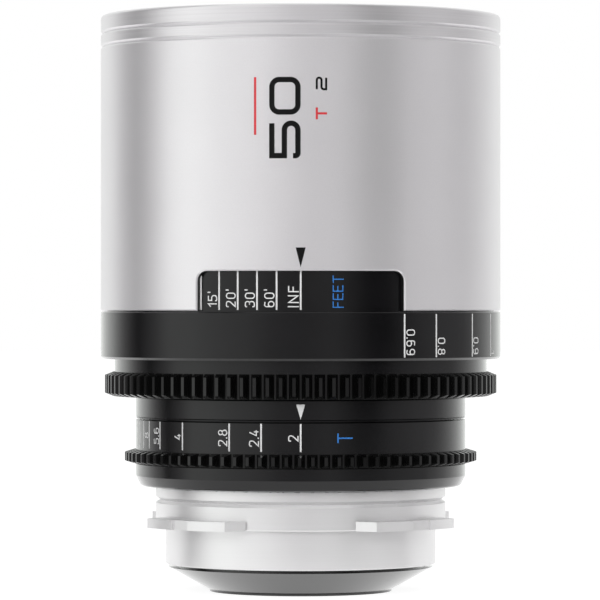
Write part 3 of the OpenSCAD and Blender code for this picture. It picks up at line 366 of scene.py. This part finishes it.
# Sections of a stroke: across it from edge to edge, and the height over the metal. SUNK is under the surface
SUNK = -0.03
FLAT = [(-1, SUNK), (-1, 0.012), (-0.85, 0.02), (0.85, 0.02), (1, 0.012), (1, SUNK)]
TROUGH = [
    (-1, SUNK), (-1, 0.07), (-0.9, 0.08), (-0.45, 0.015), (0.45, 0.015), (0.9, 0.08), (1, 0.07), (1, SUNK)]
GROOVE = [(-1, SUNK), (-1, 0.07), (0, 0.012), (1, 0.07), (1, SUNK)]

TINY = 1e-6
ARC_PULL = 0.5523
ARC_STEPS = 8
LONGEST_STEP = 0.6
SHARPEST_MITRE = 0.45


def rounded(points, closed):
    """Path through (x, y, radius) corners, each turned with its own radius."""
    path = []
    for i, (x, y, radius) in enumerate(points):
        corner = Vector((x, y))
        if radius == 0:
            path.append(corner)
            continue
        before = Vector(points[i - 1][:2]) - corner
        after = Vector(points[(i + 1) % len(points)][:2]) - corner
        reach = min(radius, before.length / 2, after.length / 2)
        start = corner + before.normalized() * reach
        end = corner + after.normalized() * reach
        pull_a = start.lerp(corner, ARC_PULL)
        pull_b = end.lerp(corner, ARC_PULL)
        for k in range(ARC_STEPS + 1):
            t = k / ARC_STEPS
            s = 1 - t
            path.append(start * s ** 3 + pull_a * (3 * s * s * t) + pull_b * (3 * s * t * t) + end * t ** 3)
    clean = [path[0]]
    for point in path[1:]:
        if (point - clean[-1]).length > TINY:
            clean.append(point)
    if closed and (clean[0] - clean[-1]).length < TINY:
        clean.pop()
    return clean


class Marks:
    """Raised strokes on a cylinder of one radius, in millimetres and degrees."""

    def __init__(self, radius):
        self.radius = radius
        self.vertices = []
        self.faces = []

    def stroke(self, path, closed, place, width, end_width=None, profile=FLAT):
        """A ribbon along path, whose points place() turns into an angle and a height."""
        stations = []
        pairs = list(zip(path, path[1:] + path[:1]))
        for a, b in pairs if closed else pairs[:-1]:
            steps = max(1, math.ceil((b - a).length / LONGEST_STEP))
            stations += [a.lerp(b, k / steps) for k in range(steps)]
        if not closed:
            stations.append(path[-1])
        count = len(stations)
        first = len(self.vertices)
        for i, point in enumerate(stations):
            before = stations[i - 1] if closed or i > 0 else None
            after = stations[(i + 1) % count] if closed or i < count - 1 else None
            d_in = (point - before).normalized() if before else (after - point).normalized()
            d_out = (after - point).normalized() if after else d_in
            n_in = Vector((-d_in.y, d_in.x))
            normal = n_in + Vector((-d_out.y, d_out.x))
            normal = normal.normalized() if normal.length > TINY else n_in
            half = width / 2
            if end_width is not None:
                half += (end_width - width) / 2 * i / (count - 1)
            offset = normal * half / max(normal.dot(n_in), SHARPEST_MITRE)
            for side, lift in profile:
                angle, z = place(point + offset * side)
                turn = math.radians(angle)
                r = (self.radius + lift) * MM
                self.vertices.append((r * math.sin(turn), -r * math.cos(turn), z * MM))
        n = len(profile)
        for i in range(count if closed else count - 1):
            a = first + i * n
            b = first + (i + 1) % count * n
            self.faces += [(a + k, b + k, b + (k + 1) % n, a + (k + 1) % n) for k in range(n)]
        if not closed:
            last = first + (count - 1) * n
            self.faces.append(tuple(first + k for k in range(n)))
            self.faces.append(tuple(last + k for k in reversed(range(n))))

    def upward(self, angle, z):
        """Place of text that reads upward, its feet to the right."""
        return lambda p: (angle - math.degrees(p.y / self.radius), z + p.x)

    def downward(self, angle, z):
        """Place of text that reads downward, its feet to the left."""
        return lambda p: (angle + math.degrees(p.y / self.radius), z - p.x)

    def text(self, words, place, height, width, gap=0.4, stretch=1.0, profile=FLAT):
        for closed, path in text_paths(words, height, gap, stretch)[0]:
            self.stroke(path, closed, place, width, profile=profile)

    def line(self, angle, z0, z1, width, end_width=None, profile=FLAT):
        path = [Vector((0, 0)), Vector((z1 - z0, 0))]
        self.stroke(path, False, self.upward(angle, z0), width, end_width, profile)

    def build(self, name, material, body):
        piece = new_object(name, self.vertices, self.faces, material)
        piece.data.validate()
        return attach(piece, body)


def text_paths(words, height, gap, stretch):
    """Strokes of a word in millimetres from the left foot of its first sign, and its length."""
    paths = []
    cursor = 0.0
    for sign in words:
        width, strokes = GLYPHS[sign]
        for closed, points in strokes:
            path = rounded([(x * stretch, y, r) for x, y, r in points], closed)
            paths.append((closed, [(p + Vector((cursor, 0))) * height for p in path]))
        cursor += width * stretch + gap
    return paths, (cursor - gap) * height


SCALE_R = 38.7
BAND_R = 40.0
BODY_R = 33.0

# Height of the figures, strokes of figures and lines, and the gap between figures as a share of their height
CAP = 1.8
THIN = 0.22
LINE = 0.33
GAP = 0.34
WIDE_GAP = 0.36

# Lowest and highest point of each scale's lines, and the foot or middle of its figures
FEET_LINE = (43.0, 51.3)
FEET_FOOT = 43.62
METRE_LINE = (33.85, 42.2)
METRE_FOOT = 34.4
IRIS_LINE = (15.6, 21.0)
IRIS_MIDDLE = 18.2
LAST_FIGURE = 70

# Feet behind the window, and metres round the band for the other side
feet_marks = Marks(SCALE_R)
for word, angle in (
        ("INF", 0), ("60'", 6.85), ("30'", 12.5), ("20'", 18.2), ("15'", 23.9), ("12'", 29.75),
        ("10'", 35.4), ("8'", 43.9), ("7'", 50), ("6'", 58.1), ("5'", 69.5), ("4'", 86.6), ("3.5'", 98.8),
        ("3'", 115), ("2.5'", 137.8)):
    feet_marks.line(-angle, *FEET_LINE, LINE)
    wide = 1.3 if word == "INF" else 1.0
    feet_marks.text(word, feet_marks.upward(-angle - 0.75, FEET_FOOT), CAP, THIN, GAP * wide, wide)
feet_marks.build("feet_scale", WHITE_PAINT, "focus_ring")

feet_legend = Marks(SCALE_R)
feet_legend.text(
    "FEET", feet_legend.upward(12.05, 43.5), height=1.88, width=0.2, gap=0.22, stretch=1.28)
feet_legend.build("feet_legend", BLUE_PAINT, "focus_ring")

metre_marks = Marks(BAND_R)
for word, angle in (
        ("0.69", 30), ("0.8", 41), ("0.9", 57), ("1", 69.5), ("1.2", 92), ("1.5", 109), ("2", 127),
        ("3", 144), ("5", 158), ("10", 168), ("INF", 180)):
    metre_marks.line(angle, *METRE_LINE, LINE)
    length = text_paths(word, CAP, WIDE_GAP, 1.0)[1]
    metre_marks.text(word, metre_marks.downward(angle + 0.72, METRE_FOOT + length), CAP, THIN, WIDE_GAP)
metre_marks.build("metre_scale", WHITE_PAINT, "focus_ring")

# Iris scale; the last stops stand too close for figures
iris_marks = Marks(BODY_R)
for word, angle in (
        ("2", 0), ("2.4", 13.4), ("2.8", 24.8), ("4", 44.3), ("5.6", 56.8), ("8", 64.8), ("11", 70.2),
        ("16", 75), ("22", 79)):
    iris_marks.line(-angle, *IRIS_LINE, LINE)
    if angle < LAST_FIGURE:
        length = text_paths(word, CAP, GAP, 1.0)[1]
        iris_marks.text(word, iris_marks.upward(-angle - 0.9, IRIS_MIDDLE - length / 2), CAP, THIN, GAP)
iris_marks.build("iris_scale", WHITE_PAINT, "iris_ring")

iris_legend = Marks(BODY_R)
iris_legend.text("T", iris_legend.upward(17.3, 17.28), height=2.7, width=0.28, stretch=1.15)
iris_legend.build("iris_legend", BLUE_PAINT, "iris_ring")

# Index marks on the fixed parts: triangles, from their wide end down to their point
POINT = 0.02
iris_index = Marks(BODY_R)
iris_index.line(0, 24.75, 21.85, 1.72, POINT)
iris_index.build("iris_index", WHITE_PAINT, "barrel")

focus_index = Marks(BAND_R)
focus_index.line(0, 54.95, 51.2, 1.9, POINT, GROOVE)
focus_index.line(180, 46.8, 43.1, 1.9, POINT, GROOVE)
focus_index.build("focus_index", BLACK_PAINT, "barrel")

# A plain focal length, the widest stop and a red rule on the barrel
NUMBER_ANGLE = -0.75
STOP_ANGLE = 7.0
BOLD = 1.02
MEDIUM = 0.42
number = Marks(BAND_R)
five = [(6.2, 5.0, 0), (0, 5.0, 0), (0, 2.6, 0), (6.2, 2.6, 1.3), (6.2, 0, 1.3), (0, 0, 1.3), (0, 0.95, 0)]
zero = [(0, 0, 1.4), (6.2, 0, 1.4), (6.2, 5.0, 1.4), (0, 5.0, 1.4)]
number.stroke(rounded(five, False), False, number.upward(NUMBER_ANGLE, 72.5), BOLD, profile=TROUGH)
number.stroke(rounded(zero, True), True, number.upward(NUMBER_ANGLE, 80.85), BOLD, profile=TROUGH)
two = [(0, 1.8, 0), (2.2, 1.8, 0.45), (2.2, 0.9, 0.45), (0, 0.9, 0.45), (0, 0, 0), (2.2, 0, 0)]
number.stroke(rounded(two, False), False, number.upward(STOP_ANGLE, 85.2), MEDIUM)
number.build("focal_length", BLACK_PAINT, "barrel")

red_marks = Marks(BAND_R)
red_marks.text("T", red_marks.upward(STOP_ANGLE, 79.45), height=1.8, width=MEDIUM, stretch=2.1)
red_marks.line(-12.6, 76.5, 87.55, 0.45)
red_marks.build("red_marks", RED_PAINT, "barrel")


# Lip of a seal that leaves a thin dark line over the iris ring

def turned_ring(name, section, material, body, steps=144):
    """Ring with a section of (radius, height) points in millimetres, listed anticlockwise."""
    count = len(section)
    vertices = [
        (r * MM * math.cos(k * math.tau / steps), r * MM * math.sin(k * math.tau / steps), z * MM)
        for k in range(steps) for r, z in section]
    faces = [
        (k * count + i, (k + 1) % steps * count + i, (k + 1) % steps * count + (i + 1) % count,
         k * count + (i + 1) % count)
        for k in range(steps) for i in range(count)]
    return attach(new_object(name, vertices, faces, material), body)


SEAL_R = BODY_R - 0.05
SEAL_INNER_R = SEAL_R - 0.6
SEAL_Z = 21.33
SEAL_TOP = 21.56
SEAL_EDGE = 0.08
turned_ring("seam_seal", [
    (SEAL_INNER_R, SEAL_Z), (SEAL_R - SEAL_EDGE, SEAL_Z), (SEAL_R, SEAL_Z + SEAL_EDGE), (SEAL_R, SEAL_TOP),
    (SEAL_INNER_R, SEAL_TOP)], BLACK, "barrel")


# Studio: pale floor, soft lamps, and a tent and cards that only reflections see

FLOOR_Z = cad_box[0][2] - 0.00002
FLOOR_R = 4
FLOOR_SIDES = 64
LAYER = 0.00001
TENT_Z = FLOOR_Z + LAYER
CARD_Z = FLOOR_Z + 2 * LAYER
CLEAR_R = 0.07
TENT_SIDES = 72
CARD_STEP = 5


def stage_mesh(name, vertices, faces, material):
    stage = new_object(name, vertices, faces, material)
    return stage


def stage_material(name):
    """A material with no shader yet."""
    material, tree, shader = new_material(name)
    tree.nodes.remove(shader)
    return material, tree


def show(tree, node):
    """Makes a shader node the material's surface."""
    tree.links.new(node.outputs[0], tree.nodes["Material Output"].inputs["Surface"])


def emission(tree, colour, strength):
    return add(tree, "ShaderNodeEmission", {"Color": colour, "Strength": strength})


def seen_directly(tree):
    """1 for camera, glossy and transmission rays."""
    path = add(tree, "ShaderNodeLightPath")
    shown = maths(tree, "MAXIMUM", path.outputs["Is Camera Ray"], path.outputs["Is Glossy Ray"])
    return maths(tree, "MAXIMUM", shown, path.outputs["Is Transmission Ray"])


WHITE = (1, 1, 1, 1)
floor_paint, tree = stage_material("floor_white")
shown = seen_directly(tree)
matt = add(tree, "ShaderNodeBsdfDiffuse", {"Color": blend(tree, shown, grey(0.85), grey(0.3))})
glow = emission(tree, WHITE, maths(tree, "MULTIPLY", shown, 0.9))
show(tree, add(tree, "ShaderNodeAddShader", {0: matt.outputs[0], 1: glow.outputs[0]}))
floor_turns = [k * math.tau / FLOOR_SIDES for k in range(FLOOR_SIDES)]
ring = [(FLOOR_R * math.cos(turn), FLOOR_R * math.sin(turn), FLOOR_Z) for turn in floor_turns]
stage_mesh("floor", ring, [tuple(range(FLOOR_SIDES))], floor_paint)

# Soft panels round the tent and the dark gaps between them: the angle from the camera's side, to the right
# positive, and the brightness there
TENT = (
    (-180, 1.05), (-150, 1.0), (-135, 0.95), (-120, 0.4), (-105, 0.0), (-90, 0.45), (-80, 1.0), (-65, 1.1),
    (-45, 0.85), (-30, 0.72), (-15, 0.42), (0, 0.34), (20, 0.45), (40, 0.0), (50, 0.0), (65, 0.35), (85, 0.5),
    (105, 0.38), (135, 0.85), (150, 1.0), (180, 1.05),
)
# A ramp holds colours up to 1, so the brightness is divided by this and the emission multiplies it back
TENT_STRENGTH = 2.0
tent_paint, tree = stage_material("tent")
parts = add(tree, "ShaderNodeSeparateXYZ", {"Vector": position(tree)})
away = maths(tree, "MULTIPLY", parts.outputs["Y"], -1.0)
turn = maths(tree, "ARCTAN2", parts.outputs["X"], away)
ramp = add(tree, "ShaderNodeValToRGB", {"Fac": remap(tree, turn, 0, 1, -math.pi, math.pi)})
elements = ramp.color_ramp.elements
elements[0].position = 0
elements[1].position = 1
for angle, _ in TENT[1:-1]:
    elements.new((angle + 180) / 360)
for element, (_, level) in zip(elements, TENT):
    share = level / TENT_STRENGTH
    # Dim panels lean to magenta, as the grey of the metal does
    element.color = (share, share * (0.96 + 0.06 * min(level, 1)), share, 1)
show(tree, emission(tree, ramp.outputs["Color"], TENT_STRENGTH))
TENT_WALL = ((CLEAR_R, TENT_Z), (1.2, TENT_Z), (1.2, 1.6), (0.6, 2.2))
tent_turns = [k * math.tau / TENT_SIDES for k in range(TENT_SIDES)]
tent_points = [(r * math.cos(turn), r * math.sin(turn), z) for turn in tent_turns for r, z in TENT_WALL]
rows = len(TENT_WALL)
tent_faces = [
    (rows * k + i, rows * k + i + 1, (rows * (k + 1) + i + 1) % len(tent_points),
     (rows * (k + 1) + i) % len(tent_points))
    for k in range(TENT_SIDES) for i in range(rows - 1)]
tent = stage_mesh("tent", tent_points, tent_faces, tent_paint)


def floor_card(name, first, last, reach, level):
    """White card on the floor from one angle to another, measured as in TENT, that the mount reflects."""
    paper, tree = stage_material(name)
    show(tree, emission(tree, WHITE, level))
    turns = [math.radians(angle) for angle in range(first, last + CARD_STEP, CARD_STEP)]
    points = [(r * math.sin(turn), -r * math.cos(turn), CARD_Z) for turn in turns for r in (CLEAR_R, reach)]
    faces = [(i, i + 1, i + 3, i + 2) for i in range(0, len(points) - 2, 2)]
    return stage_mesh(name, points, faces, paper)


cards = [
    floor_card("card", 15, 75, reach=0.6, level=0.5),
    floor_card("card_right", 95, 170, reach=0.45, level=1.1),
    floor_card("card_left", -170, -105, reach=0.45, level=1.2),
]
for screen in (tent, *cards):
    screen.visible_camera = False
    screen.visible_diffuse = False
    screen.visible_transmission = False
    screen.visible_shadow = False

world = bpy.data.worlds.new("studio")
scene.world = world
world.use_nodes = True
tree = world.node_tree
background = tree.nodes["Background"]
background.inputs["Color"].default_value = WHITE
SOFT_LIGHT = 0.58
strength = maths(tree, "MAXIMUM", seen_directly(tree), SOFT_LIGHT)
tree.links.new(strength, background.inputs["Strength"])


AIM = Vector((0, 0, 0.045))


def lamp(name, place, size, power):
    """Soft box that points at the middle of the lens."""
    data = bpy.data.lights.new(name, "AREA")
    data.shape = "RECTANGLE"
    data.size, data.size_y = size
    data.energy = power
    light = bpy.data.objects.new(name, data)
    light.location = place
    light.rotation_euler = (AIM - Vector(place)).to_track_quat("-Z", "Y").to_euler()
    light.visible_glossy = False
    scene.collection.objects.link(light)


lamp("key", (-0.35, -1.3, 0.35), size=(0.7, 0.6), power=11)
lamp("fill", (1.0, -0.8, 0.35), size=(0.8, 0.6), power=4)

camera_data = bpy.data.cameras.new("camera")
camera_data.sensor_width = 36
camera_data.lens = 257.4
camera = bpy.data.objects.new("camera", camera_data)
camera.location = (-0.00013, -0.860, 0.0449)
camera.rotation_euler = (math.radians(90), 0, 0)
scene.collection.objects.link(camera)
scene.camera = camera

scene.view_settings.view_transform = "Standard"
